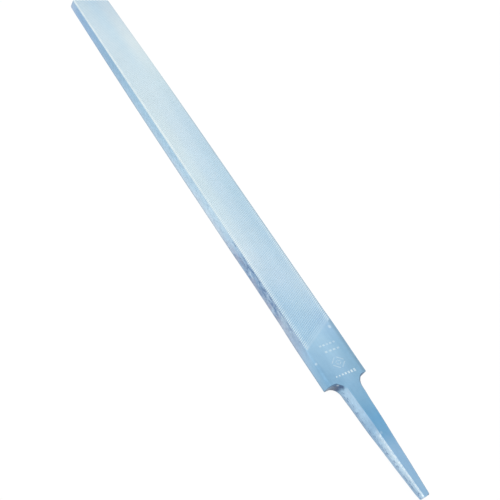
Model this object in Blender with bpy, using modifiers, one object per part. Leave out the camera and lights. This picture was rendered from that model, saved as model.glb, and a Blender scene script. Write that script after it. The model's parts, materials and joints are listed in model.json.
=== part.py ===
"""A 250 mm flat file without a handle: one steel forging, made of a blade, two shoulders and a tang.

The file lies flat with its tip towards -X and its tang towards +X. The Z axis points up.
The origin is at the centre of the overall length and width, on the surface that the file rests on.
"""

import math

import bmesh
import bpy

MM = 0.001

# Blade
BLADE_LENGTH = 250.0 * MM
BLADE_WIDTH = 24.0 * MM
BLADE_THICKNESS = 5.5 * MM
TIP_WIDTH = 22.6 * MM
TIP_THICKNESS = 4.3 * MM
TIP_TAPER_LENGTH = 106.0 * MM
TIP_CORNER_RADIUS = 1.3 * MM

# Shoulders, where the blade steps in to the tang
SHOULDER_CORNER_RADIUS = 0.5 * MM
SHOULDER_FILLET_RADIUS = 5.0 * MM

# Tang
TANG_LENGTH = 58.7 * MM
TANG_ROOT_WIDTH = 9.5 * MM
TANG_END_WIDTH = 4.1 * MM
TANG_END_CORNER_RADIUS = 0.9 * MM
TANG_FULL_THICKNESS_LENGTH = 24.0 * MM
TANG_END_TOP_DROP = 0.6 * MM
TANG_END_BOTTOM_RISE = 1.4 * MM
TANG_SIDE_DRAFT = 0.2 * MM

# Edges
BLADE_EDGE_CHAMFER = 0.25 * MM
TANG_EDGE_CHAMFER = 0.5 * MM
SHARP_EDGE_ANGLE = math.radians(40.0)

# Fineness of the curved stretches
TIP_TAPER_STEPS = 8
ARC_STEPS = 6
FILLET_STEPS = 8

TOTAL_LENGTH = BLADE_LENGTH + TANG_LENGTH
TIP_X = -TOTAL_LENGTH / 2
SHOULDER_X = TIP_X + BLADE_LENGTH
TANG_ROOT_X = SHOULDER_X + SHOULDER_FILLET_RADIUS
TANG_TAPER_X = SHOULDER_X + TANG_FULL_THICKNESS_LENGTH
TANG_END_X = TIP_X + TOTAL_LENGTH
SAME_PLACE = 0.01 * MM


def remove_old_objects():
    for old in list(bpy.data.objects):
        bpy.data.objects.remove(old)


def new_collection(name):
    collection = bpy.data.collections.new(name)
    bpy.context.scene.collection.children.link(collection)
    return collection


def tip_share(x):
    """1 at the tip, easing to 0 where the parallel part of the blade starts."""
    along = min(1.0, max(0.0, (x - TIP_X) / TIP_TAPER_LENGTH))
    return (1.0 - along) ** 2


def blade_half_width(x):
    return BLADE_WIDTH / 2 - (BLADE_WIDTH - TIP_WIDTH) / 2 * tip_share(x)


def arc(centre_x, centre_y, radius, start_degrees, end_degrees, steps):
    points = []
    for step in range(steps + 1):
        angle = math.radians(start_degrees + (end_degrees - start_degrees) * step / steps)
        points.append((centre_x + radius * math.cos(angle), centre_y + radius * math.sin(angle)))
    return points


def half_outline():
    """The +Y side of the plan view, from the tip to the tang's end."""
    corner_x = TIP_X + TIP_CORNER_RADIUS
    corner_y = blade_half_width(corner_x) - TIP_CORNER_RADIUS
    points = arc(corner_x, corner_y, TIP_CORNER_RADIUS, 180, 90, ARC_STEPS)
    for step in range(1, TIP_TAPER_STEPS + 1):
        x = corner_x + (TIP_TAPER_LENGTH - TIP_CORNER_RADIUS) * step / TIP_TAPER_STEPS
        points.append((x, blade_half_width(x)))
    points += arc(
        SHOULDER_X - SHOULDER_CORNER_RADIUS,
        BLADE_WIDTH / 2 - SHOULDER_CORNER_RADIUS,
        SHOULDER_CORNER_RADIUS,
        90,
        0,
        ARC_STEPS,
    )
    points += arc(
        TANG_ROOT_X,
        TANG_ROOT_WIDTH / 2 + SHOULDER_FILLET_RADIUS,
        SHOULDER_FILLET_RADIUS,
        180,
        270,
        FILLET_STEPS,
    )
    points += arc(
        TANG_END_X - TANG_END_CORNER_RADIUS,
        TANG_END_WIDTH / 2 - TANG_END_CORNER_RADIUS,
        TANG_END_CORNER_RADIUS,
        90,
        0,
        ARC_STEPS,
    )
    return points


def outline_plate(collection):
    """A plate of the full thickness with the file's plan view, as a mesh."""
    upper = half_outline()
    lower = [(x, -y) for x, y in reversed(upper)]
    outline = upper + lower
    curve = bpy.data.curves.new("plan_view", "CURVE")
    curve.dimensions = "2D"
    curve.fill_mode = "BOTH"
    curve.extrude = BLADE_THICKNESS / 2
    spline = curve.splines.new("POLY")
    spline.points.add(len(outline) - 1)
    for point, (x, y) in zip(spline.points, outline):
        point.co = (x, y, 0.0, 1.0)
    spline.use_cyclic_u = True
    guide = bpy.data.objects.new("plan_view", curve)
    guide.location.z = BLADE_THICKNESS / 2
    collection.objects.link(guide)
    bpy.context.view_layer.update()
    evaluated = guide.evaluated_get(bpy.context.evaluated_depsgraph_get())
    mesh = bpy.data.meshes.new_from_object(evaluated)
    mesh.transform(guide.matrix_world)
    bpy.data.objects.remove(guide)
    bpy.data.curves.remove(curve)
    return mesh


def station_positions():
    """Where the top and bottom faces change slope."""
    stations = [TIP_X + TIP_TAPER_LENGTH * step / TIP_TAPER_STEPS for step in range(1, TIP_TAPER_STEPS + 1)]
    stations += [SHOULDER_X - SHOULDER_CORNER_RADIUS, TANG_ROOT_X, TANG_TAPER_X]
    return stations


def surface_heights(x):
    """Heights of the bottom and top faces at x."""
    tip_drop = (BLADE_THICKNESS - TIP_THICKNESS) / 2 * tip_share(x)
    tang_share = max(0.0, (x - TANG_TAPER_X) / (TANG_END_X - TANG_TAPER_X))
    bottom = tip_drop + TANG_END_BOTTOM_RISE * tang_share
    top = BLADE_THICKNESS - tip_drop - TANG_END_TOP_DROP * tang_share
    return bottom, top


def forge(mesh):
    """Turns the plate into the forging: tapered tip, tapered tang, drafted tang sides."""
    shape = bmesh.new()
    shape.from_mesh(mesh)
    bmesh.ops.remove_doubles(shape, verts=shape.verts, dist=SAME_PLACE)
    bmesh.ops.dissolve_limit(shape, angle_limit=math.radians(0.5), verts=shape.verts, edges=shape.edges)
    for x in station_positions():
        everything = shape.verts[:] + shape.edges[:] + shape.faces[:]
        bmesh.ops.bisect_plane(shape, geom=everything, dist=SAME_PLACE, plane_co=(x, 0, 0), plane_no=(1, 0, 0))
    for vertex in shape.verts:
        x, y, z = vertex.co
        is_bottom = z < BLADE_THICKNESS / 2
        if is_bottom and x >= TANG_ROOT_X - SAME_PLACE:
            vertex.co.y += math.copysign(TANG_SIDE_DRAFT, y)
        bottom, top = surface_heights(x)
        vertex.co.z = bottom if is_bottom else top
    bmesh.ops.recalc_face_normals(shape, faces=shape.faces)
    mark_edge_chamfers(shape)
    shape.to_mesh(mesh)
    shape.free()


def mark_edge_chamfers(shape):
    """Gives the long edges their chamfer: small on the blade, wider on the tang."""
    layer = shape.edges.layers.float.new("bevel_weight_edge")
    for edge in shape.edges:
        if len(edge.link_faces) != 2 or edge.calc_face_angle() < SHARP_EDGE_ANGLE:
            continue
        runs_along_rim = abs(edge.verts[0].co.z - edge.verts[1].co.z) < BLADE_THICKNESS / 2
        if not runs_along_rim:
            continue
        on_tang = min(v.co.x for v in edge.verts) > TANG_ROOT_X - SAME_PLACE
        edge[layer] = 1.0 if on_tang else BLADE_EDGE_CHAMFER / TANG_EDGE_CHAMFER


def steel_material():
    material = bpy.data.materials.new("hardened_steel")
    material.use_nodes = True
    shader = material.node_tree.nodes["Principled BSDF"]
    shader.inputs["Base Color"].default_value = (0.42, 0.62, 0.76, 1.0)
    shader.inputs["Metallic"].default_value = 0.85
    shader.inputs["Roughness"].default_value = 0.42
    return material


def build_blade_with_tang(collection):
    mesh = outline_plate(collection)
    forge(mesh)
    mesh.name = "blade_with_tang"
    mesh.materials.clear()
    mesh.materials.append(steel_material())
    piece = bpy.data.objects.new("blade_with_tang", mesh)
    collection.objects.link(piece)
    chamfer = piece.modifiers.new("edge_chamfer", "BEVEL")
    chamfer.limit_method = "WEIGHT"
    chamfer.width = TANG_EDGE_CHAMFER
    chamfer.segments = 2
    mesh.shade_smooth()
    mesh.set_sharp_from_angle(angle=SHARP_EDGE_ANGLE)
    return piece


remove_old_objects()
build_blade_with_tang(new_collection("flat_file"))
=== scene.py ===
"""The looks of a bare 250 mm flat file: its cut faces, plain heel, shoulders, tang and steel finish.

The file is made the way a real one is. A forged blank is lofted through cross-sections, and chisel
combs then cut the rows of teeth into it. Lengths are in metres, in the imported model's own frame:
tip towards -X, tang towards +X, smooth edge towards -Y, resting on z = 0.
"""

import json
import math
import random

import bmesh
import bpy
from mathutils import Matrix, Quaternion, Vector, noise


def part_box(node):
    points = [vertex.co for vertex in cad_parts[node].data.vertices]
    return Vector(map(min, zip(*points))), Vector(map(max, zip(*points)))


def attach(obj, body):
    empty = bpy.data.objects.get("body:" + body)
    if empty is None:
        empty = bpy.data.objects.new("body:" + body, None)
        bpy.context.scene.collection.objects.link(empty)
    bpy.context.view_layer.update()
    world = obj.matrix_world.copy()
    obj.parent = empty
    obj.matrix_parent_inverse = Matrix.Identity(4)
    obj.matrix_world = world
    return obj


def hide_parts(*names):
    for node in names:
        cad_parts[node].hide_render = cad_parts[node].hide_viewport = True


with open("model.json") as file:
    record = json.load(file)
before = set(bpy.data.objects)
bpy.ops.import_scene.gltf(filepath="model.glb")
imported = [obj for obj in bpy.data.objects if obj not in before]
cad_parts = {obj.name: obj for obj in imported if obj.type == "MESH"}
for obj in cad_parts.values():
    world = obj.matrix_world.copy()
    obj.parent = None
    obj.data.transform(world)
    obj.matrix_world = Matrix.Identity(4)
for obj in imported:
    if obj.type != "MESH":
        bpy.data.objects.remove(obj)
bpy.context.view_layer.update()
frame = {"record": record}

MM = 0.001
QUARTER_TURN = math.radians(90)
NODE = "blade_with_tang"
BODY = "root"

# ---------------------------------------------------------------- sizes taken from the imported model

node_low, node_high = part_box(NODE)
mount_places = {mount["name"]: mount["pos_m"] for mount in frame["record"]["mounts"]}

TIP_X = node_low.x
TANG_END_X = node_high.x
SHOULDER_X = mount_places["near_shoulder"][0]
FULL_HALF_WIDTH = node_high.y
THICKNESS = node_high.z
MID_Z = THICKNESS / 2

# ---------------------------------------------------------------- sizes of the forging

TIP_TAPER_LENGTH = 106.0 * MM
TIP_WIDTH_LOSS = 0.7 * MM  # on each edge
TIP_THICKNESS_LOSS = 0.6 * MM  # on each face
TIP_CORNER_RADIUS = 0.8 * MM
TIP_UNDERCUT = 1.2 * MM  # the lower edge of the tip is rounded off this far up
TIP_UNDERCUT_LENGTH = 2.4 * MM
SHOULDER_CORNER_RADIUS = 0.3 * MM
NEAR_FILLET_RADIUS = 5.0 * MM
FAR_FILLET_RADIUS = 6.5 * MM
SHOULDER_STEP = 0.01 * MM  # the flat of the shoulder is this much out of square
TANG_ROOT_HALF_WIDTH = 4.75 * MM
TANG_END_HALF_WIDTH = 2.05 * MM
TANG_END_ROUNDING = 0.9 * MM
TANG_END_EASING = (0.5, 0.6, 0.3)  # how much of that rounding the sides, foot and top get
TANG_FULL_THICKNESS_LENGTH = 24.0 * MM
TANG_END_TOP_DROP = 0.6 * MM
TANG_END_BOTTOM_RISE = 1.4 * MM
TANG_END_UNDERCUT = 0.25 * MM
TANG_END_UNDERCUT_LENGTH = 3 * MM
HAMMERING = 0.12 * MM
HAMMERING_RUN_IN = 0.1  # of the tang's length
HAMMERING_BIAS = 0.3  # on the whole the surface moves inwards
HAMMER_MARKS_PER_METRE = (90, 260, 260)

# ---------------------------------------------------------------- corners of the cross-sections

# Each is (reach across, reach up, bulge). Bulge is 1 for a round corner and 0 for a chamfer.
CRISP_CORNER = (0.12 * MM, 0.12 * MM, 1.0)
HEEL_NEAR_CORNER = (3.6 * MM, 3.4 * MM, 1.0)
HEEL_FAR_CORNER = (1.5 * MM, 0.3 * MM, 1.0)
HEEL_LOW_CORNER = (0.3 * MM, 0.3 * MM, 1.0)
WORN_LOW_CORNER = (0.8 * MM, 0.7 * MM, 1.0)
TANG_LOW_CORNER = (0.3 * MM, 0.3 * MM, 0.5)
TANG_FAR_CORNER = (0.5 * MM, 0.3 * MM, 0.8)
TANG_SLOPE = (0.9 * MM, 3.6 * MM, 0.25)
TANG_BEVEL = (0.55 * MM, 0.6 * MM, 0.1)
TANG_END_FAR_CORNER = (0.4 * MM, 0.3 * MM, 0.8)
TANG_END_BEVEL = (0.45 * MM, 0.45 * MM, 0.2)
FILLET_START_CORNER = (1.35 * MM, 0.25 * MM, 0.6)
FILLET_FAR_CORNER = (1.6 * MM, 0.6 * MM, 0.8)

# Where one corner turns into another.
HEEL_SOFT_X = SHOULDER_X - 5 * MM
WORN_CORNER_START = (SHOULDER_X - 85 * MM, SHOULDER_X - 60 * MM)
WORN_CORNER_END = (SHOULDER_X - 40 * MM, SHOULDER_X - 22 * MM)
SLOPE_AFTER_SHOULDER = 1 * MM
BEVEL_AFTER_SHOULDER = (22 * MM, 30 * MM)
FAR_CORNER_AFTER_SHOULDER = (3 * MM, 8 * MM)

# Steps of the loft.
CORNER_STEPS = 8
TIP_STEPS = 8
BLADE_STEPS = 140
TIP_CROWDING = 1.4  # above 1, the cross-sections lie closer together towards the tip
ROUNDING_STEPS = 4
FILLET_STEPS = 18
TANG_STEPS = 44

# ---------------------------------------------------------------- sizes of the teeth

UP_CUT_ANGLE = math.radians(25.0)  # from square across the blade
OVER_CUT_ANGLE = math.radians(-45.0)
UP_CUT_PITCH = 0.968 * MM  # along the blade
OVER_CUT_PITCH = 1.48 * MM
UP_CUT_DEPTH = 0.27 * MM
OVER_CUT_DEPTH = 0.045 * MM
OVER_CUT_HALF_WIDTH = 0.22 * MM
TOOTH_FRONT_SHARE = 0.2  # of the pitch, from the gullet up to the tooth's edge
TOOTH_TOP_LOSS = 0.015 * MM
CUT_END_X = SHOULDER_X - 23.4 * MM  # on the centre line
OVER_CUT_SETBACK = 1.2 * MM
EDGE_CUT_PITCH = 0.94 * MM
EDGE_CUT_DEPTH = 0.09 * MM
EDGE_CUT_MARGIN = 4 * MM  # past the tip, and short of the face's teeth at the heel
FADING_TEETH = 6  # the last rows by the heel get shallower

# How much the rows vary, as (least, most).
UP_CUT_WANDER = (-0.015, 0.015)  # of the pitch
UP_CUT_DEPTHS = (0.95, 1.04)
TOOTH_TOP_LOSSES = (0.3, 2.2)
OVER_CUT_WANDER = (-0.04, 0.04)  # of the pitch
OVER_CUT_DEPTHS = (0.85, 1.1)
SEED = 7

# How far the cutters reach past the steel.
UP_CUT_MARGIN = 8 * MM
OVER_CUT_MARGIN = 16 * MM
COMB_LIFT = 0.3 * MM
LAND_LIFT = 0.1 * MM
CUTTER_CLEARANCE = 1.5 * MM
EDGE_CUTTER_CLEARANCE = 0.6 * MM
ZONE_CLEARANCE = 6 * MM
ZONE_LENGTH_PAST_TIP = 40 * MM
ZONE_HEIGHT = 20 * MM

# ---------------------------------------------------------------- sizes of the punch marks

# Rows of punches: how many, how far before the shoulder, and then for the first and the last one the
# place across the file, the length across it and the width along it.
PUNCH_ROWS = (
    (7, 2.6 * MM, (-5.6 * MM, 6.2 * MM), (0.9 * MM, 1.4 * MM), (0.7 * MM, 1.7 * MM)),
    (5, 18.3 * MM, (-3.6 * MM, 5.2 * MM), (1.4 * MM, 1.4 * MM), (1.0 * MM, 1.0 * MM)),
    (4, 14.9 * MM, (-2.4 * MM, 5.4 * MM), (1.6 * MM, 1.6 * MM), (1.1 * MM, 1.1 * MM)),
)
DIAMOND_CENTRE = (SHOULDER_X - 8.5 * MM, 0.4 * MM)
# Each diamond's half length along the file, half width across it, and stroke.
DIAMONDS = ((3.2 * MM, 4.4 * MM, 0.5 * MM), (1.3 * MM, 1.8 * MM, 0.4 * MM))
DIAMOND_STROKE_SHARE = 0.72  # of each side, which leaves gaps at the corners
PUNCH_DEPTH = 0.07 * MM
PUNCH_FOOT_SHARE = 0.7  # the foot's width, as a share of the top's

# Numbers of the blank's materials, in the order that build_file adds them. The uncut steel is 0.
CUT_SURFACE = 1
PUNCHED_SURFACE = 2
SHARP_EDGE = math.radians(32)  # faces that meet at more than this are shaded as a corner


def smoothstep(low, high, value):
    """0 below low, 1 above high, and an even curve between them."""
    share = min(1.0, max(0.0, (value - low) / (high - low)))
    return share * share * (3.0 - 2.0 * share)


def mix(a, b, share):
    return a + (b - a) * share


def add_object(name, shape):
    """Puts a bmesh into the scene as an object, and frees it."""
    mesh = bpy.data.meshes.new(name)
    shape.to_mesh(mesh)
    shape.free()
    piece = bpy.data.objects.new(name, mesh)
    bpy.context.scene.collection.objects.link(piece)
    return piece


# ================================================================ the blank


def tip_share(x):
    """1 at the tip, easing to 0 where the parallel part of the blade starts."""
    along = min(1.0, max(0.0, (x - TIP_X) / TIP_TAPER_LENGTH))
    return (1.0 - along) ** 2


def blade_half_width(x):
    return FULL_HALF_WIDTH - TIP_WIDTH_LOSS * tip_share(x)


def face_height(x):
    """Height of the blade's upper face."""
    return THICKNESS - TIP_THICKNESS_LOSS * tip_share(x)


def corner_points(across, up, reach, bulge, turn):
    """One corner of a section, rounded where bulge is 1 and chamfered where it is 0.

    turn is 0 for the lower -Y corner and goes up anticlockwise. reach is how far the corner goes
    across and up.
    """
    sign_across, sign_up = ((-1, -1), (1, -1), (1, 1), (-1, 1))[turn]
    centre = Vector((across - sign_across * reach[0], up - sign_up * reach[1]))

    def on_arc(angle):
        return centre + Vector((reach[0] * math.cos(angle), reach[1] * math.sin(angle)))

    start = math.radians(180 + 90 * turn)
    first = on_arc(start)
    last = on_arc(start + QUARTER_TURN)
    points = []
    for step in range(CORNER_STEPS + 1):
        share = step / CORNER_STEPS
        points.append(first.lerp(last, share).lerp(on_arc(start + QUARTER_TURN * share), bulge))
    return points


def section(x, near, far, bottom, top, corners):
    """A closed ring of points across the file, from -near to far.

    corners are those of the lower -Y, lower +Y, upper +Y and upper -Y corner.
    """
    places = ((-near, bottom), (far, bottom), (far, top), (-near, top))
    ring = []
    for turn, ((across, up), (reach_across, reach_up, bulge)) in enumerate(zip(places, corners)):
        for point in corner_points(across, up, (reach_across, reach_up), bulge, turn):
            ring.append(Vector((x, point.x, point.y)))
    return ring


def between(a, b, share):
    """The corner part of the way between two others."""
    return tuple(mix(value, other, share) for value, other in zip(a, b))


def blade_corners(x):
    """The cut part has crisp corners. At the heel the forging's own soft ones are left.

    The lower -Y corner is worn for a stretch ahead of the heel.
    """
    softness = smoothstep(CUT_END_X, HEEL_SOFT_X, x)
    low = between(CRISP_CORNER, HEEL_LOW_CORNER, softness)
    near = between(CRISP_CORNER, HEEL_NEAR_CORNER, softness)
    far = between(CRISP_CORNER, HEEL_FAR_CORNER, softness)
    worn = smoothstep(*WORN_CORNER_START, x) - smoothstep(*WORN_CORNER_END, x)
    return [between(low, WORN_LOW_CORNER, worn), low, far, near]


def blade_bottom(x):
    """Height of the blade's lower face, which is rounded off at the tip."""
    short = max(0.0, 1.0 - (x - TIP_X) / TIP_UNDERCUT_LENGTH)
    return THICKNESS - face_height(x) + TIP_UNDERCUT * (1.0 - math.sqrt(1.0 - short ** 2))


def blade_sections():
    rings = []
    for step in range(TIP_STEPS + 1):
        angle = QUARTER_TURN * step / TIP_STEPS
        x = TIP_X + TIP_CORNER_RADIUS * (1 - math.cos(angle))
        half_width = blade_half_width(x) - TIP_CORNER_RADIUS * (1 - math.sin(angle))
        corners = [CRISP_CORNER] * 4
        rings.append(section(x, half_width, half_width, blade_bottom(x), face_height(x), corners))
    first = TIP_X + TIP_CORNER_RADIUS
    last = SHOULDER_X - SHOULDER_CORNER_RADIUS
    for step in range(1, BLADE_STEPS + 1):
        x = mix(first, last, (step / BLADE_STEPS) ** TIP_CROWDING)
        half_width = blade_half_width(x)
        corners = blade_corners(x)
        rings.append(section(x, half_width, half_width, blade_bottom(x), face_height(x), corners))
    for step in range(1, ROUNDING_STEPS + 1):
        angle = QUARTER_TURN * step / ROUNDING_STEPS
        x = last + SHOULDER_CORNER_RADIUS * math.sin(angle)
        half_width = FULL_HALF_WIDTH - SHOULDER_CORNER_RADIUS * (1 - math.cos(angle))
        rings.append(section(x, half_width, half_width, 0.0, THICKNESS, blade_corners(x)))
    return rings


def tang_half_width(x, fillet_radius):
    """From the centre line to one side of the tang, with that side's fillet at the shoulder."""
    start = SHOULDER_X + NEAR_FILLET_RADIUS
    along = max(0.0, (x - start) / (TANG_END_X - start))
    left = max(0.0, 1 - (x - SHOULDER_X) / fillet_radius)
    fillet = fillet_radius * (1 - math.sqrt(1 - left ** 2))
    return mix(TANG_ROOT_HALF_WIDTH, TANG_END_HALF_WIDTH, along) + fillet


def tang_heights(x):
    """Heights of the tang's lower and upper sides."""
    start = SHOULDER_X + TANG_FULL_THICKNESS_LENGTH
    along = max(0.0, (x - start) / (TANG_END_X - start))
    return TANG_END_BOTTOM_RISE * along, THICKNESS - TANG_END_TOP_DROP * along


def hammered(ring, amount):
    """Moves each point of a tang section in or out a little, as hammering leaves it."""
    middle = sum(ring, Vector()) / len(ring)
    moved = []
    for point in ring:
        outward = (point - middle).normalized()
        sample = Vector([value * marks for value, marks in zip(point, HAMMER_MARKS_PER_METRE)])
        shifted = point + outward * amount * (noise.noise(sample) - HAMMERING_BIAS)
        shifted.z = min(THICKNESS, max(0.0, shifted.z))
        moved.append(shifted)
    return moved


def tang_corners(x):
    """Small corners, but for the -Y top one, which is a slope by the root and a crisp bevel after it."""
    along = x - SHOULDER_X
    slope = smoothstep(SLOPE_AFTER_SHOULDER, NEAR_FILLET_RADIUS, along)
    near_top = between(FILLET_START_CORNER, TANG_SLOPE, slope)
    near_top = between(near_top, TANG_BEVEL, smoothstep(*BEVEL_AFTER_SHOULDER, along))
    far_top = between(FILLET_FAR_CORNER, TANG_FAR_CORNER, smoothstep(*FAR_CORNER_AFTER_SHOULDER, along))
    return [TANG_LOW_CORNER, TANG_LOW_CORNER, far_top, near_top]


def tang_sections():
    """The fillets, the tapering tang and its rounded end."""
    rings = []
    for step in range(FILLET_STEPS + 1):
        angle = QUARTER_TURN * step / FILLET_STEPS
        x = SHOULDER_X + SHOULDER_STEP + (FAR_FILLET_RADIUS - SHOULDER_STEP) * (1 - math.cos(angle))
        near = tang_half_width(x, NEAR_FILLET_RADIUS)
        far = tang_half_width(x, FAR_FILLET_RADIUS)
        rings.append(section(x, near, far, 0.0, THICKNESS, tang_corners(x)))
    first = SHOULDER_X + FAR_FILLET_RADIUS
    last = TANG_END_X - TANG_END_ROUNDING
    for step in range(1, TANG_STEPS + 1):
        share = step / TANG_STEPS
        x = mix(first, last, share)
        half_width = tang_half_width(x, NEAR_FILLET_RADIUS)
        bottom, top = tang_heights(x)
        bottom += TANG_END_UNDERCUT * smoothstep(last - TANG_END_UNDERCUT_LENGTH, last, x) ** 2
        ring = section(x, half_width, half_width, bottom, top, tang_corners(x))
        rings.append(hammered(ring, HAMMERING * smoothstep(0, HAMMERING_RUN_IN, share)))
    side_easing, foot_easing, top_easing = TANG_END_EASING
    corners = [TANG_LOW_CORNER, TANG_LOW_CORNER, TANG_END_FAR_CORNER, TANG_END_BEVEL]
    for step in range(1, ROUNDING_STEPS + 1):
        angle = QUARTER_TURN * step / ROUNDING_STEPS
        x = last + TANG_END_ROUNDING * math.sin(angle)
        inset = TANG_END_ROUNDING * (1 - math.cos(angle))
        half_width = tang_half_width(x, NEAR_FILLET_RADIUS) - side_easing * inset
        bottom, top = tang_heights(x)
        bottom += TANG_END_UNDERCUT + foot_easing * inset
        rings.append(section(x, half_width, half_width, bottom, top - top_easing * inset, corners))
    return rings


def loft(name, rings):
    """A closed mesh through rings that all have the same number of points."""
    shape = bmesh.new()
    rows = [[shape.verts.new(point) for point in ring] for ring in rings]
    for row, following in zip(rows, rows[1:]):
        for index in range(len(row)):
            after = (index + 1) % len(row)
            shape.faces.new((row[index], row[after], following[after], following[index]))
    shape.faces.new(rows[0])
    shape.faces.new(reversed(rows[-1]))
    bmesh.ops.recalc_face_normals(shape, faces=shape.faces)
    return add_object(name, shape)


# ================================================================ the cutters


def comb(name, rows, spans, place, lid):
    """A closed cutter. Its underside is a lattice through rows of (position, depth), its top a plane lid."""
    shape = bmesh.new()
    lattice = [[shape.verts.new(place(x, across, depth)) for across in spans] for x, depth in rows]
    for row, following in zip(lattice, lattice[1:]):
        for index in range(len(spans) - 1):
            shape.faces.new((row[index], row[index + 1], following[index + 1], following[index]))
    raised = bmesh.ops.extrude_face_region(shape, geom=shape.faces[:])
    for vertex in (v for v in raised["geom"] if isinstance(v, bmesh.types.BMVert)):
        vertex.co = lid(vertex.co)
    bmesh.ops.recalc_face_normals(shape, faces=shape.faces)
    for face in shape.faces:
        face.material_index = CUT_SURFACE
    return add_object(name, shape)


def up_cut_rows(draws, first, last, pitch, depth):
    """Gullets and tooth edges, running out of the surface at the end."""
    rows = [(first, -COMB_LIFT)]
    count = int((last - first) / pitch)
    for number in range(count):
        x = first + (number + 0.5 + draws.uniform(*UP_CUT_WANDER)) * pitch
        fading = min(1.0, (count - number + 1) / FADING_TEETH)
        rows.append((x, depth * fading * draws.uniform(*UP_CUT_DEPTHS)))
        rows.append((x + TOOTH_FRONT_SHARE * pitch, TOOTH_TOP_LOSS * draws.uniform(*TOOTH_TOP_LOSSES)))
    rows.append((first + (count + 0.9) * pitch, -COMB_LIFT))
    return rows


def over_cut_rows(draws, first, last):
    """Separate grooves with a land between them, which stays clear of the surface."""
    rows = []
    for number in range(int((last - first) / OVER_CUT_PITCH)):
        x = first + (number + draws.uniform(*OVER_CUT_WANDER)) * OVER_CUT_PITCH
        depth = OVER_CUT_DEPTH * draws.uniform(*OVER_CUT_DEPTHS)
        reach = OVER_CUT_HALF_WIDTH * (1 + LAND_LIFT / depth)
        rows += [(x - reach, -LAND_LIFT), (x, depth), (x + reach, -LAND_LIFT)]
    return rows


def on_face(angle, side):
    """Places a cut on the upper face (side 1) or, with the file turned over, on the lower one (side -1)."""
    slant = math.tan(angle)

    def place(x, across, depth):
        along = x - slant * across
        height = face_height(along) - depth
        return Vector((along, side * across, MID_Z + side * (height - MID_Z)))

    return place


def face_lid(side):
    """A plane clear of the upper face (side 1) or the lower one (side -1)."""
    return lambda point: Vector((point.x, point.y, MID_Z + side * (MID_Z + CUTTER_CLEARANCE)))


def face_spans(half_reach):
    """Places across the file where a comb that follows a face has its points."""
    return [half_reach * share for share in (-1.0, -0.5, 0.0, 0.5, 1.0)]


def boolean(piece, cutter, operation="DIFFERENCE"):
    """Applies one cut, with the cutter's material left on the surfaces that it makes."""
    step = piece.modifiers.new(operation.lower(), "BOOLEAN")
    step.operation = operation
    step.solver = "MANIFOLD"
    step.material_mode = "INDEX"
    step.object = cutter
    bpy.context.view_layer.update()
    evaluated = piece.evaluated_get(bpy.context.evaluated_depsgraph_get())
    mesh = bpy.data.meshes.new_from_object(evaluated)
    piece.modifiers.clear()
    piece.data = mesh
    bpy.data.objects.remove(cutter)


def cut_zone(side):
    """The stretch of a face where the over-cut lies: a slab that ends on a line along the up-cut."""
    slant = math.tan(UP_CUT_ANGLE)
    reach = FULL_HALF_WIDTH + ZONE_CLEARANCE

    def place(x, across, depth):
        return Vector((x - slant * across, side * across, MID_Z - side * depth))

    def lid(point):
        return Vector((point.x, point.y, MID_Z + side * ZONE_HEIGHT))

    rows = [(TIP_X - ZONE_LENGTH_PAST_TIP, 0.0), (CUT_END_X - OVER_CUT_SETBACK, 0.0)]
    return comb("cut_zone", rows, (-reach, reach), place, lid)


def cut_faces(piece):
    """The main cut and then the over-cut, on the upper face and then on the lower one."""
    draws = random.Random(SEED)
    spans = face_spans(FULL_HALF_WIDTH + CUTTER_CLEARANCE)
    for side in (1, -1):
        rows = up_cut_rows(draws, TIP_X - UP_CUT_MARGIN, CUT_END_X, UP_CUT_PITCH, UP_CUT_DEPTH)
        boolean(piece, comb("up_cut", rows, spans, on_face(UP_CUT_ANGLE, side), face_lid(side)))
        rows = over_cut_rows(draws, TIP_X - OVER_CUT_MARGIN, CUT_END_X + OVER_CUT_MARGIN)
        cutter = comb("over_cut", rows, spans, on_face(OVER_CUT_ANGLE, side), face_lid(side))
        boolean(cutter, cut_zone(side), "INTERSECT")
        boolean(piece, cutter)


def cut_far_edge(piece):
    """Single rows of teeth across the +Y edge. The other edge stays smooth."""
    draws = random.Random(SEED + 1)
    slant = math.tan(UP_CUT_ANGLE)
    half_reach = MID_Z + EDGE_CUTTER_CLEARANCE

    def place(x, across, depth):
        along = x - slant * across
        return Vector((along, blade_half_width(along) - depth, MID_Z + across))

    def lid(point):
        return Vector((point.x, FULL_HALF_WIDTH + CUTTER_CLEARANCE, point.z))

    first = TIP_X - EDGE_CUT_MARGIN
    rows = up_cut_rows(draws, first, CUT_END_X - EDGE_CUT_MARGIN, EDGE_CUT_PITCH, EDGE_CUT_DEPTH)
    boolean(piece, comb("edge_cut", rows, (-half_reach, half_reach), place, lid))


# ================================================================ generic punch marks on the heel


def bar_cutter(centre, length, width, angle):
    """A small oblong punch whose foot is slightly narrower than its top."""
    shape = bmesh.new()
    bmesh.ops.create_cube(shape, size=1.0)
    for vertex in shape.verts:
        at_foot = vertex.co.z < 0
        narrowing = PUNCH_FOOT_SHARE if at_foot else 1.0
        vertex.co.x *= length * (1 - (1 - narrowing) * width / length)
        vertex.co.y *= width * narrowing
        vertex.co.z = -PUNCH_DEPTH if at_foot else PUNCH_DEPTH
    turn = Matrix.Rotation(angle, 4, "Z")
    bmesh.ops.transform(shape, matrix=Matrix.Translation(centre) @ turn, verts=shape.verts)
    for face in shape.faces:
        face.material_index = PUNCHED_SURFACE
    return add_object("punch", shape)


def diamond_bars(centre, half_length, half_width, stroke):
    """Four strokes round a diamond, with gaps at its corners."""
    corners = [Vector((half_length, 0)), Vector((0, half_width))]
    corners += [-corner for corner in corners]
    bars = []
    for corner, following in zip(corners, corners[1:] + corners[:1]):
        run = following - corner
        middle = centre + (corner + following) / 2
        bars.append((middle, run.length * DIAMOND_STROKE_SHARE, stroke, math.atan2(run.y, run.x)))
    return bars


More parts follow.
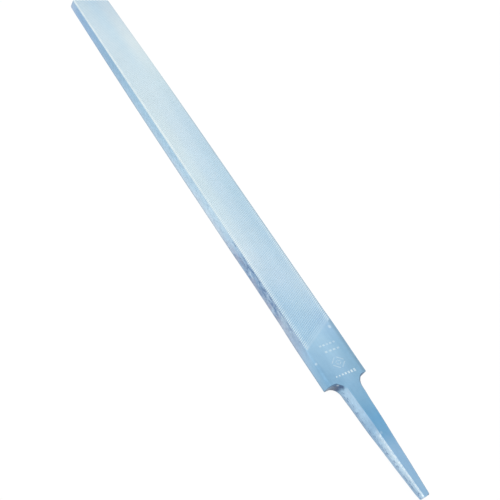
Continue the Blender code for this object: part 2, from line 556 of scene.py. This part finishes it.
def stamp_heel(piece):
    """A row of square punches by the shoulder, two rows of short bars, and a double diamond."""
    marks = []
    for count, setback, across, lengths, widths in PUNCH_ROWS:
        for number in range(count):
            share = number / (count - 1)
            place = Vector((SHOULDER_X - setback, mix(*across, share)))
            marks.append((place, mix(*lengths, share), mix(*widths, share), QUARTER_TURN))
    for diamond in DIAMONDS:
        marks += diamond_bars(Vector(DIAMOND_CENTRE), *diamond)
    for place, length, width, angle in marks:
        boolean(piece, bar_cutter(Vector((place.x, place.y, THICKNESS)), length, width, angle))


# ================================================================ the steel


# The steel's colours hold painted light and shade as well as its own tones; each place below says which.
class Nodes:
    """A Principled material's node tree, with short ways to add to it."""

    def __init__(self, name):
        self.material = bpy.data.materials.new(name)
        self.material.use_nodes = True
        self.tree = self.material.node_tree
        self.surface = self.tree.nodes["Principled BSDF"]
        self.position = self.add("ShaderNodeTexCoord").outputs["Object"]
        self.x, self.y, self.z = self.split(self.position)

    def add(self, kind, **settings):
        node = self.tree.nodes.new(kind)
        for name, value in settings.items():
            setattr(node, name, value)
        return node

    def link(self, source, target):
        """Connects source, or sets it where it is a plain value."""
        if isinstance(source, bpy.types.NodeSocket):
            self.tree.links.new(source, target)
        else:
            target.default_value = source

    def split(self, vector):
        """The x, y and z of a vector."""
        node = self.add("ShaderNodeSeparateXYZ")
        self.link(vector, node.inputs[0])
        return node.outputs

    def math(self, operation, *values):
        node = self.add("ShaderNodeMath", operation=operation)
        for place, value in enumerate(values):
            self.link(value, node.inputs[place])
        return node.outputs[0]

    def product(self, first, *others):
        for other in others:
            first = self.math("MULTIPLY", first, other)
        return first

    def fade(self, value, low, high, to_low=0.0, to_high=1.0, curve="SMOOTHSTEP"):
        """to_low at low and before it, to_high at high and past it. low may be the greater of the two."""
        node = self.add("ShaderNodeMapRange", interpolation_type=curve)
        for place, number in enumerate((value, low, high, to_low, to_high)):
            self.link(number, node.inputs[place])
        return node.outputs["Result"]

    def stretch(self, places, to_low=0.0, to_high=1.0):
        """fade() along the file, between two places in millimetres from the shoulder."""
        low, high = (SHOULDER_X + place * MM for place in places)
        return self.fade(self.x, low, high, to_low, to_high)

    def noise(self, scale, detail=3.0, stretch=(1, 1, 1), turn=0.0, roughness=0.55, distortion=0.0):
        """Noise from 0 to 1, with about scale times stretch spots a metre, turned about the Y axis."""
        placed = self.add("ShaderNodeMapping")
        placed.inputs["Scale"].default_value = stretch
        placed.inputs["Rotation"].default_value = (0, turn, 0)
        self.link(self.position, placed.inputs["Vector"])
        node = self.add("ShaderNodeTexNoise")
        self.link(placed.outputs[0], node.inputs["Vector"])
        settings = {"Scale": scale, "Detail": detail, "Roughness": roughness, "Distortion": distortion}
        for name, value in settings.items():
            node.inputs[name].default_value = value
        return node.outputs["Fac"]

    def mix(self, factor, a, b, blend="MIX"):
        node = self.add("ShaderNodeMix", data_type="RGBA", blend_type=blend)
        self.link(factor, node.inputs[0])
        self.link(a if isinstance(a, bpy.types.NodeSocket) else (*a, 1), node.inputs[6])
        self.link(b if isinstance(b, bpy.types.NodeSocket) else (*b, 1), node.inputs[7])
        return node.outputs[2]

    def tinted(self, colour, tint):
        return self.mix(1.0, colour, tint, "MULTIPLY")

    def along(self, stops):
        """A colour that changes along the file. stops are (millimetres from the shoulder, colour)."""
        ramp = self.add("ShaderNodeValToRGB")
        self.link(self.fade(self.x, TIP_X, TANG_END_X, curve="LINEAR"), ramp.inputs["Fac"])
        elements = ramp.color_ramp.elements
        while len(elements) < len(stops):
            elements.new(0.5)
        for element, (place, colour) in zip(elements, stops):
            element.position = (SHOULDER_X + place * MM - TIP_X) / (TANG_END_X - TIP_X)
            element.color = (*colour, 1)
        return ramp.outputs["Color"]

    def shade(self, colour, value, amount):
        """Lightens and darkens a colour by a noise value round 0.5."""
        gain = self.math("MULTIPLY_ADD", value, amount, 1 - amount / 2)
        grey = self.add("ShaderNodeCombineColor")
        for place in range(3):
            self.link(gain, grey.inputs[place])
        return self.tinted(colour, grey.outputs[0])

    def bump(self, height, distance, strength=1.0, under=None):
        node = self.add("ShaderNodeBump")
        node.inputs["Strength"].default_value = strength
        node.inputs["Distance"].default_value = distance
        self.link(height, node.inputs["Height"])
        if under:
            self.link(under, node.inputs["Normal"])
        return node.outputs["Normal"]

    def finish(self, colour, roughness, normal, metallic):
        self.link(colour, self.surface.inputs["Base Color"])
        self.link(roughness, self.surface.inputs["Roughness"])
        self.link(normal, self.surface.inputs["Normal"])
        self.surface.inputs["Metallic"].default_value = metallic
        return self.material


# Colours along the file: (millimetres from the shoulder, negative towards the tip; red, green, blue).
# The tang's top: blued steel, darker still as painted shade.
TANG_TOP = (
    (12, (0.21, 0.42, 0.61)), (21, (0.15, 0.37, 0.59)), (28, (0.17, 0.38, 0.59)),
    (35, (0.27, 0.46, 0.66)), (58, (0.29, 0.48, 0.67)),
)
# The faces turn bluer towards the heel with the temper. Across them, the near side's lighter colour is
# painted light, and the far side's darker colour by the heel is painted shade on its rounding.
NEAR_FACE = (
    (-250, (0.52, 0.66, 0.75)), (-220, (0.60, 0.73, 0.81)), (-190, (0.60, 0.73, 0.80)),
    (-145, (0.64, 0.76, 0.81)), (-105, (0.62, 0.76, 0.83)), (-70, (0.60, 0.73, 0.82)),
    (-50, (0.46, 0.64, 0.78)), (-37, (0.41, 0.61, 0.77)), (-27, (0.42, 0.63, 0.79)),
    (-18, (0.33, 0.54, 0.72)), (-4, (0.26, 0.46, 0.64)),
) + TANG_TOP
MIDDLE_FACE = (
    (-250, (0.48, 0.64, 0.76)), (-220, (0.57, 0.72, 0.81)), (-180, (0.62, 0.75, 0.82)),
    (-150, (0.59, 0.73, 0.82)), (-110, (0.55, 0.71, 0.82)), (-80, (0.53, 0.69, 0.80)),
    (-55, (0.52, 0.68, 0.81)), (-42, (0.46, 0.65, 0.79)), (-27, (0.39, 0.60, 0.77)),
    (-14, (0.36, 0.57, 0.74)), (-4, (0.31, 0.515, 0.70)),
) + TANG_TOP
FAR_FACE = (
    (-250, (0.52, 0.65, 0.75)), (-216, (0.68, 0.78, 0.82)), (-186, (0.59, 0.73, 0.80)),
    (-155, (0.53, 0.69, 0.80)), (-110, (0.48, 0.66, 0.78)), (-80, (0.48, 0.66, 0.79)),
    (-50, (0.51, 0.67, 0.79)), (-37, (0.46, 0.65, 0.80)), (-26, (0.34, 0.54, 0.73)),
    (-17, (0.28, 0.49, 0.67)), (-4, (0.25, 0.45, 0.62)),
) + TANG_TOP
# The smooth edge: its tone, darkened as painted shade on this upright side. It is also the painted shade in
# the gullets' mouths.
EDGE = (
    (-250, (0.38, 0.51, 0.66)), (-241, (0.28, 0.45, 0.65)), (-205, (0.28, 0.46, 0.63)),
    (-175, (0.36, 0.55, 0.70)), (-140, (0.41, 0.60, 0.74)), (-96, (0.51, 0.68, 0.80)),
    (-83, (0.44, 0.61, 0.75)), (-71, (0.29, 0.45, 0.63)), (-58, (0.25, 0.39, 0.56)),
    (-46, (0.29, 0.42, 0.58)), (-35, (0.37, 0.50, 0.63)), (-27, (0.34, 0.47, 0.62)),
    (-17, (0.33, 0.49, 0.66)),
)
# The tang's sides: their tone, lighter than the top's partly as painted light.
TANG_SIDE = (
    (-250, (0.34, 0.50, 0.66)), (8, (0.42, 0.60, 0.76)), (17, (0.39, 0.57, 0.74)),
    (24, (0.29, 0.47, 0.65)), (32, (0.43, 0.60, 0.75)), (40, (0.51, 0.67, 0.80)), (52, (0.43, 0.59, 0.73)),
)
# Painted shade along the foot of the tang's sides, which faces down.
TANG_FOOT_SHADE = (0.27, 0.41, 0.57)
PALE = (0.74, 0.85, 0.885)
# Bare worn steel, and the painted highlight of the bright near line, the glint, the bevel and the nicks.
BARE_STEEL_AND_HIGHLIGHT = (0.93, 0.99, 0.97)
OXIDE = (0.13, 0.23, 0.40)
PALE_STREAK = (0.52, 0.66, 0.79)
VIOLET = (0.38, 0.43, 0.55)
# Painted shade in the fillets and on the shoulders, lighter low on the shoulders' flats.
DARK_FILLET_SHADE = (0.075, 0.13, 0.24)
PALE_SHOULDER_SHADE = (0.14, 0.165, 0.22)
# Painted shade along the foot and on the far rims.
BROWN_RIM_SHADE = (0.20, 0.20, 0.22)
# Painted shade on the far rounding of the heel.
FAR_BRINK_SHADE = (0.17, 0.29, 0.40)
# Painted shade on the bend along the heel's near side.
HEEL_BEND_SHADE = (0.95, 0.96, 0.965)
GLARE_SHADE = (0.82, 0.86, 0.89)
LOW_EDGE_TINT = (1.12, 1.04, 1.02)

# How metallic the steel looks.
METALLIC = 0.72
PUNCHED_METALLIC = 0.5

# Stretches along the file, in millimetres from the shoulder, over which a look comes in or goes out.
# STREAKS_END and HEEL_END run backwards, from the tang's side to the tip's.
EDGE_HIGHLIGHT_TICKS = (-120, -75)
WORN_LINE_END = (-75, -35)
DARK_BRINK_START = (-200, -150)
NOTCHED_BRINK_START = (-150, -95)
FIRST_STREAKS = (-170, -130)
STRONG_STREAKS = (-92, -72)
STREAKS_END = (-20, -44)
HEEL_SIDE_START = (-24, -8)
HEEL_BEND_START = (-15, -7)
HEEL_GLARE_START = (-16, -11)
HEEL_END = (0.5, 0)
SHOULDER_ROW_START = (-5, -3.5)
FILLET_START = (-1, 0.5)
FAR_RIM_START = (-0.1, 0.3)
PAST_FILLET = (5, 10)
TANG_SIDE_START = (0.5, 6)
GLINT_START = (22, 34)
BEVEL_START = (23, 30)

FACE_COLOUR_REACH = 8 * MM  # from the centre line to where the near or far colours are at their full

# Small nicks, painted bright as bare steel with its highlight: millimetres from the shoulder, across and up,
# their size, and how bright they are.
NICKS = (
    (-25.7, 8.6, 5.5, 1.2, 0.35),
    (-11.6, -10.9, 4.6, 0.9, 0.35),
    (27.3, -2.0, 5.4, 1.0, 0.14),
    (0.7, -6.9, 4.4, 0.8, 0.35),
)
NICK_CORE = 0.3  # of a nick's size, fully bright


def tip_share_socket(nodes):
    """tip_share(x) for a material."""
    along = nodes.fade(nodes.x, TIP_X, TIP_X + TIP_TAPER_LENGTH, 1.0, 0.0, curve="LINEAR")
    return nodes.math("POWER", along, 2.0)


def distance_from_edge(nodes):
    """How far in from the blade's nearer edge a point lies."""
    loss = nodes.math("MULTIPLY", tip_share_socket(nodes), TIP_WIDTH_LOSS)
    half_width = nodes.math("SUBTRACT", FULL_HALF_WIDTH, loss)
    return nodes.math("SUBTRACT", half_width, nodes.math("ABSOLUTE", nodes.y))


def depth_below_face(nodes):
    """How far a point lies under the nearer face, which dips towards the tip."""
    dip = nodes.math("MULTIPLY", tip_share_socket(nodes), TIP_THICKNESS_LOSS)
    surface = nodes.math("SUBTRACT", MID_Z, dip)
    height = nodes.math("ABSOLUTE", nodes.math("SUBTRACT", nodes.z, MID_Z))
    return nodes.math("SUBTRACT", surface, height)


def face_colour(nodes):
    """The face's colour along and across the file, with soft clouds; across the file it holds painted light
    and shade.
    """
    to_middle = nodes.fade(nodes.y, -FACE_COLOUR_REACH, 0.0)
    to_far = nodes.fade(nodes.y, 0.0, FACE_COLOUR_REACH)
    colour = nodes.mix(to_middle, nodes.along(NEAR_FACE), nodes.along(MIDDLE_FACE))
    colour = nodes.mix(to_far, colour, nodes.along(FAR_FACE))
    return nodes.shade(colour, nodes.noise(70, 4, distortion=0.4), 0.10)


def crest_wear_and_highlight(nodes, colour, inward, depth, near_side):
    """Tooth edges are painted bright, as worn steel and as painted highlight, most of all towards the
    blade's edges and least by the heel.
    """
    slanted = nodes.math("MULTIPLY_ADD", nodes.y, math.tan(UP_CUT_ANGLE), nodes.x)
    before_heel = nodes.fade(slanted, CUT_END_X, CUT_END_X - 5 * MM, 0.25, 1.0)
    crest = nodes.product(nodes.fade(depth, 0.15 * MM, 0.02 * MM), before_heel)
    all_over = nodes.fade(nodes.noise(160, 3), 0.3, 0.7, 0.18, 0.28)
    # Painted highlight on the tooth ends along the edges.
    edge_highlight = nodes.product(
        nodes.fade(inward, 4.5 * MM, 0.8 * MM, 0.0, 0.9),
        nodes.stretch(EDGE_HIGHLIGHT_TICKS, 0.25, 1.0),
        nodes.fade(inward, 0.3 * MM, 1.2 * MM, near_side, 1.0),
    )
    # Wear and painted highlight together.
    worn = nodes.math("MAXIMUM", all_over, edge_highlight)
    return nodes.mix(nodes.product(crest, worn), colour, BARE_STEEL_AND_HIGHLIGHT)


def near_brink_highlight_and_shade(nodes, colour, inward, depth, near_side):
    """The painted highlight along the near brink, which breaks up into ticks between the painted shade of
    the gullets' mouths.
    """
    gullet = nodes.product(
        nodes.fade(depth, 0.05 * MM, 0.17 * MM),
        nodes.stretch(NOTCHED_BRINK_START, 0.15, 0.85),
    )
    # Painted highlight along the near brink.
    line = nodes.product(
        nodes.fade(inward, 1.9 * MM, 0.8 * MM),
        nodes.fade(inward, 0.1 * MM, 0.6 * MM),
        nodes.stretch(WORN_LINE_END, 0.52, 0.05),
        nodes.fade(nodes.noise(330, 2), 0.35, 0.55, 0.5, 1.0),
        near_side,
        nodes.math("SUBTRACT", 1.15, gullet),
    )
    colour = nodes.mix(line, colour, BARE_STEEL_AND_HIGHLIGHT)
    mouth_shade = nodes.product(gullet, nodes.fade(inward, 0.9 * MM, 0.35 * MM, 0.0, 0.75), near_side)
    return nodes.mix(mouth_shade, colour, nodes.along(EDGE))


def teeth_material():
    """The cut steel, with painted highlight and shade along its brinks."""
    nodes = Nodes("file_steel_teeth")
    inward = distance_from_edge(nodes)
    depth = depth_below_face(nodes)
    near_side = nodes.fade(nodes.y, 1 * MM, -1 * MM)
    colour = crest_wear_and_highlight(nodes, face_colour(nodes), inward, depth, near_side)
    colour = nodes.shade(colour, nodes.noise(1400, 2), 0.03)
    colour = near_brink_highlight_and_shade(nodes, colour, inward, depth, near_side)
    # Painted shade along the far brink.
    far_brink_shade = nodes.product(
        nodes.fade(inward, 1.2 * MM, 0.3 * MM),
        nodes.stretch(DARK_BRINK_START, 0.08, 0.25),
        nodes.math("SUBTRACT", 1.0, near_side),
    )
    colour = nodes.mix(far_brink_shade, colour, BROWN_RIM_SHADE)
    roughness = nodes.fade(nodes.noise(900, 3), 0.25, 0.75, 0.38, 0.54)
    normal = nodes.bump(nodes.noise(3200, 2), 0.03 * MM, 0.3)
    return nodes.finish(colour, roughness, normal, METALLIC)


def low_edge_tint(nodes, colour):
    """The foot of an upright side is slightly warmer."""
    warmer = nodes.tinted(colour, LOW_EDGE_TINT)
    return nodes.mix(nodes.fade(nodes.z, 3.4 * MM, 1.2 * MM), colour, warmer)


def edge_colour(nodes):
    """The smooth edge, on a tone darkened as painted shade: clean by the tip, then with oxide streaks along
    its top and a violet tinge below.
    """
    colour = low_edge_tint(nodes, nodes.along(EDGE))
    patchy = nodes.product(
        nodes.stretch(STRONG_STREAKS, 0.25, 1.0),
        nodes.stretch(FIRST_STREAKS, 0.15, 1.0),
        nodes.stretch(STREAKS_END, 0.12, 1.0),
    )
    lean = math.radians(-20)
    streaks = nodes.noise(520, 5, stretch=(0.5, 1, 1.25), turn=lean, distortion=0.8, roughness=0.62)
    dark = nodes.product(nodes.fade(streaks, 0.52, 0.38), nodes.fade(nodes.z, 1.0 * MM, 3.4 * MM, 0.6, 1.0))
    colour = nodes.mix(nodes.product(dark, patchy), colour, OXIDE)
    pale = nodes.fade(streaks, 0.54, 0.66, 0.0, 0.8)
    colour = nodes.mix(nodes.product(pale, patchy), colour, PALE_STREAK)
    tinge = nodes.fade(nodes.noise(260, 4, stretch=(0.6, 1, 1), distortion=0.3), 0.4, 0.62)
    tinge = nodes.product(tinge, nodes.fade(nodes.z, 4.2 * MM, 1.6 * MM, 0.15, 0.7))
    colour = nodes.mix(nodes.product(tinge, patchy), colour, VIOLET)
    return nodes.shade(colour, nodes.noise(1100, 6, stretch=(0.4, 1, 1), turn=lean), 0.4)


def tang_side_colour(nodes):
    """The tang's sides: pale where they slope, partly as painted light, and darker along the foot as painted
    shade, with scale specks in between and a painted glint high up.
    """
    tang_start = SHOULDER_X + TANG_FULL_THICKNESS_LENGTH
    rise = nodes.fade(nodes.x, tang_start, TANG_END_X, 0.0, TANG_END_BOTTOM_RISE, curve="LINEAR")
    height = nodes.math("SUBTRACT", nodes.z, rise)
    # Painted shade along the foot.
    foot = nodes.fade(height, 2.2 * MM, 1.5 * MM)
    colour = nodes.mix(nodes.product(foot, 0.65), nodes.along(TANG_SIDE), TANG_FOOT_SHADE)
    specks = nodes.product(
        nodes.fade(height, 0.9 * MM, 1.5 * MM),
        nodes.fade(height, 3.0 * MM, 2.3 * MM),
        nodes.fade(nodes.noise(900, 3, stretch=(0.8, 1, 1.1), roughness=0.6), 0.50, 0.38),
        0.8,
    )
    colour = nodes.mix(specks, colour, OXIDE)
    # Painted highlight high on the sides, from partway along the tang.
    glint = nodes.product(
        nodes.fade(height, 2.6 * MM, 4.6 * MM, 0.0, 0.45),
        nodes.stretch(GLINT_START),
        nodes.fade(nodes.noise(700, 4), 0.35, 0.6, 0.4, 1.0),
    )
    colour = nodes.mix(glint, colour, BARE_STEEL_AND_HIGHLIGHT)
    return nodes.shade(colour, nodes.noise(650, 6, roughness=0.65), 0.5)


def faces_and_sides(nodes, facing_y, facing_z):
    """The uncut faces and upright sides, with painted shade on the bend along the heel's near side, deepest
    where the lamp's highlight falls.
    """
    face = face_colour(nodes)
    before_shoulder = nodes.stretch(HEEL_END)
    # Painted shade on the heel's near bend.
    bend = nodes.product(
        nodes.fade(facing_y, -0.04, -0.3),
        nodes.stretch(HEEL_BEND_START),
        before_shoulder,
    )
    face = nodes.mix(bend, face, nodes.tinted(face, HEEL_BEND_SHADE))
    heel_side = nodes.mix(nodes.stretch(HEEL_SIDE_START), edge_colour(nodes), low_edge_tint(nodes, face))
    side = nodes.mix(nodes.stretch(TANG_SIDE_START), heel_side, tang_side_colour(nodes))
    upright = nodes.fade(nodes.math("ABSOLUTE", facing_z), 0.75, 0.35)
    colour = nodes.mix(upright, face, side)
    # More painted shade where the lamp's highlight falls on the bend.
    glare_shade = nodes.product(
        nodes.fade(facing_y, -0.2, -0.6),
        nodes.fade(facing_y, -0.97, -0.8),
        nodes.stretch(HEEL_GLARE_START, 0.3, 1.0),
        before_shoulder,
    )
    return nodes.mix(glare_shade, colour, nodes.tinted(colour, GLARE_SHADE))


def painted_bevel_highlight(nodes, colour, facing_y, facing_z):
    """A painted highlight on the bevel along the tang's near side, where it catches the light."""
    # Painted highlight on the bevel.
    bevel = nodes.product(
        nodes.fade(facing_z, 0.4, 0.55),
        nodes.fade(facing_z, 0.95, 0.88),
        nodes.fade(facing_y, -0.25, -0.5),
        nodes.stretch(BEVEL_START, 0.0, 0.55),
        nodes.fade(nodes.noise(1300, 3), 0.35, 0.6, 0.4, 1.0),
    )
    return nodes.mix(bevel, colour, BARE_STEEL_AND_HIGHLIGHT)


def painted_shade_in_fillets(nodes, colour, facing_x):
    """Painted shade on the shoulders and in the fillets, mottled, and paler low down on the shoulders'
    flats.
    """
    # Painted shade in the fillets.
    scale = nodes.product(
        nodes.fade(nodes.math("ABSOLUTE", facing_x), 0.35, 0.7),
        nodes.stretch(FILLET_START),
        nodes.fade(nodes.x, TANG_END_X - 3 * MM, TANG_END_X - 5 * MM),
        nodes.fade(nodes.noise(380, 4), 0.35, 0.65, 0.75, 1.0),
    )
    hollow = nodes.product(
        nodes.fade(facing_x, 0.6, 0.95),
        nodes.fade(nodes.z, 4.2 * MM, 2.6 * MM),
    )
    return nodes.mix(scale, colour, nodes.mix(hollow, DARK_FILLET_SHADE, PALE_SHOULDER_SHADE))


def painted_rim_shade(nodes, colour, facing_z):
    """Painted shade: a brown tinge along the foot, and dark rims on the far side of the heel and of the
    tang.
    """
    # Painted shade along the foot.
    foot = nodes.fade(nodes.z, 1.1 * MM, 0.3 * MM, 0.0, 0.3)
    colour = nodes.mix(foot, colour, BROWN_RIM_SHADE)
    heel_brink_shade = nodes.product(
        nodes.fade(distance_from_edge(nodes), 3.4 * MM, 0.6 * MM, 0.0, 0.5),
        nodes.fade(nodes.y, 6 * MM, 9 * MM),
        nodes.fade(facing_z, 0.3, 0.8),
    )
    colour = nodes.mix(heel_brink_shade, colour, FAR_BRINK_SHADE)
    past_fillet = nodes.stretch(PAST_FILLET)
    tang_rim_shade = nodes.product(
        nodes.fade(facing_z, 0.985, 0.93),
        nodes.fade(facing_z, 0.1, 0.4),
        nodes.fade(nodes.y, 0.3 * MM, 1.3 * MM),
        nodes.stretch(FAR_RIM_START),
        nodes.fade(past_fillet, 0.0, 1.0, 0.9, 0.7),
    )
    return nodes.mix(tang_rim_shade, colour, nodes.mix(past_fillet, DARK_FILLET_SHADE, BROWN_RIM_SHADE))


def nicks_with_highlight(nodes, colour):
    """Adds the small nicks, painted bright as bare steel with its highlight."""
    for along, across, up, size, strength in NICKS:
        offset = nodes.add("ShaderNodeVectorMath", operation="DISTANCE")
        nodes.link(nodes.position, offset.inputs[0])
        offset.inputs[1].default_value = (SHOULDER_X + along * MM, across * MM, up * MM)
        spot = nodes.fade(offset.outputs["Value"], size * MM, size * NICK_CORE * MM, 0.0, strength)
        colour = nodes.mix(spot, colour, BARE_STEEL_AND_HIGHLIGHT)
    return colour


def body_material():
    """The uncut steel: the ground heel, the smooth edge, the shoulders and the forged tang, with painted
    light and shade in its colours.
    """
    nodes = Nodes("file_steel_body")
    normal = nodes.add("ShaderNodeNewGeometry").outputs["Normal"]
    facing_x, facing_y, facing_z = nodes.split(normal)
    colour = faces_and_sides(nodes, facing_y, facing_z)
    colour = painted_bevel_highlight(nodes, colour, facing_y, facing_z)
    colour = painted_shade_in_fillets(nodes, colour, facing_x)
    colour = painted_rim_shade(nodes, colour, facing_z)
    colour = nicks_with_highlight(nodes, colour)
    colour = nodes.shade(colour, nodes.noise(1500, 2, stretch=(0.12, 1, 1)), 0.1)
    roughness = nodes.fade(nodes.noise(260, 4), 0.25, 0.75, 0.38, 0.58)
    pits = nodes.bump(nodes.noise(520, 5), 0.12 * MM, 0.6)
    grinding = nodes.bump(nodes.noise(3000, 2, stretch=(0.04, 1, 1)), 0.02 * MM, 0.5, pits)
    return nodes.finish(colour, roughness, grinding, METALLIC)


def punch_material():
    """The walls and floors of the punch marks, brightest in the row by the shoulder."""
    nodes = Nodes("file_steel_punched")
    bright = nodes.product(
        nodes.stretch(SHOULDER_ROW_START, 0.5, 0.85),
        nodes.fade(nodes.noise(500, 2), 0.35, 0.6, 0.6, 1.0),
    )
    colour = nodes.mix(bright, face_colour(nodes), PALE)
    roughness = nodes.fade(nodes.noise(1200, 2), 0.3, 0.7, 0.45, 0.65)
    normal = nodes.bump(nodes.noise(2600, 3), 0.05 * MM, 0.8)
    return nodes.finish(colour, roughness, normal, PUNCHED_METALLIC)


def build_file():
    """The forging, then its teeth and punch marks."""
    blank = loft("flat_file", blade_sections() + tang_sections())
    for steel in (body_material(), teeth_material(), punch_material()):
        blank.data.materials.append(steel)
    cut_faces(blank)
    cut_far_edge(blank)
    stamp_heel(blank)
    blank.data.shade_smooth()
    blank.data.set_sharp_from_angle(angle=SHARP_EDGE)
    return blank


# ================================================================ the studio

KEY_LIGHT_PLACE = Vector((-0.3, -0.5, 0.5))
KEY_LIGHT_SIZE = (0.5, 0.4)
KEY_LIGHT_POWER = 1.0
FILE_MIDDLE = Vector((0.0, 0.0, MID_Z))
SKY_STRENGTH = 1.0
FLOOR_HALF_SIZE = 6.0
PAPER_GREY = 0.06
PAPER_ROUGHNESS = 0.9
PAPER_GLOSS = 0.1
PAPER_GLOW = 0.95  # its own light keeps the paper evenly pale

CAMERA_AZIMUTH = math.radians(29.65)  # from -Y, towards the tang
CAMERA_ELEVATION = math.radians(41.40)
CAMERA_ROLL = math.radians(35.41)
CAMERA_AIM = Vector((SHOULDER_X - 76.05 * MM, -3.54 * MM, MID_Z))
CAMERA_DISTANCE = 416.8 * MM
CAMERA_CLIP_START = 0.01
LENS_LENGTH = 63.87  # in millimetres, like the sensor's width
SENSOR_WIDTH = 36.0


def build_key_light():
    lamp = bpy.data.lights.new("key", "AREA")
    lamp.shape = "RECTANGLE"
    lamp.size, lamp.size_y = KEY_LIGHT_SIZE
    lamp.energy = KEY_LIGHT_POWER
    light = bpy.data.objects.new("key", lamp)
    light.location = KEY_LIGHT_PLACE
    light.rotation_euler = (FILE_MIDDLE - KEY_LIGHT_PLACE).to_track_quat("-Z", "Y").to_euler()
    bpy.context.scene.collection.objects.link(light)


def build_floor():
    paper = bpy.data.materials.new("white_paper")
    paper.use_nodes = True
    surface = paper.node_tree.nodes["Principled BSDF"]
    surface.inputs["Base Color"].default_value = (PAPER_GREY, PAPER_GREY, PAPER_GREY, 1)
    surface.inputs["Roughness"].default_value = PAPER_ROUGHNESS
    surface.inputs["Specular IOR Level"].default_value = PAPER_GLOSS
    surface.inputs["Emission Color"].default_value = (1, 1, 1, 1)
    surface.inputs["Emission Strength"].default_value = PAPER_GLOW
    shape = bmesh.new()
    bmesh.ops.create_grid(shape, x_segments=1, y_segments=1, size=FLOOR_HALF_SIZE)
    floor = add_object("floor", shape)
    floor.data.materials.append(paper)


def build_studio():
    """A white sky, one lamp and a sheet of pale paper."""
    scene = bpy.context.scene
    world = bpy.data.worlds.new("studio")
    world.use_nodes = True
    world.node_tree.nodes["Background"].inputs["Color"].default_value = (1, 1, 1, 1)
    world.node_tree.nodes["Background"].inputs["Strength"].default_value = SKY_STRENGTH
    scene.world = world
    scene.view_settings.view_transform = "Standard"
    build_key_light()
    build_floor()


def build_camera():
    """Looks down at the file from the -Y side, by the tang, with the horizon tilted."""
    back = Vector((
        math.sin(CAMERA_AZIMUTH) * math.cos(CAMERA_ELEVATION),
        -math.cos(CAMERA_AZIMUTH) * math.cos(CAMERA_ELEVATION),
        math.sin(CAMERA_ELEVATION),
    ))
    lens = bpy.data.cameras.new("camera")
    lens.sensor_width = SENSOR_WIDTH
    lens.lens = LENS_LENGTH
    lens.clip_start = CAMERA_CLIP_START
    camera = bpy.data.objects.new("camera", lens)
    camera.location = CAMERA_AIM + CAMERA_DISTANCE * back
    camera.rotation_mode = "QUATERNION"
    level = (-back).to_track_quat("-Z", "Y")
    camera.rotation_quaternion = level @ Quaternion((0, 0, 1), CAMERA_ROLL)
    bpy.context.scene.collection.objects.link(camera)
    bpy.context.scene.camera = camera


# ================================================================ put together

flat_file = build_file()
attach(flat_file, BODY)
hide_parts(NODE)

build_studio()
build_camera()
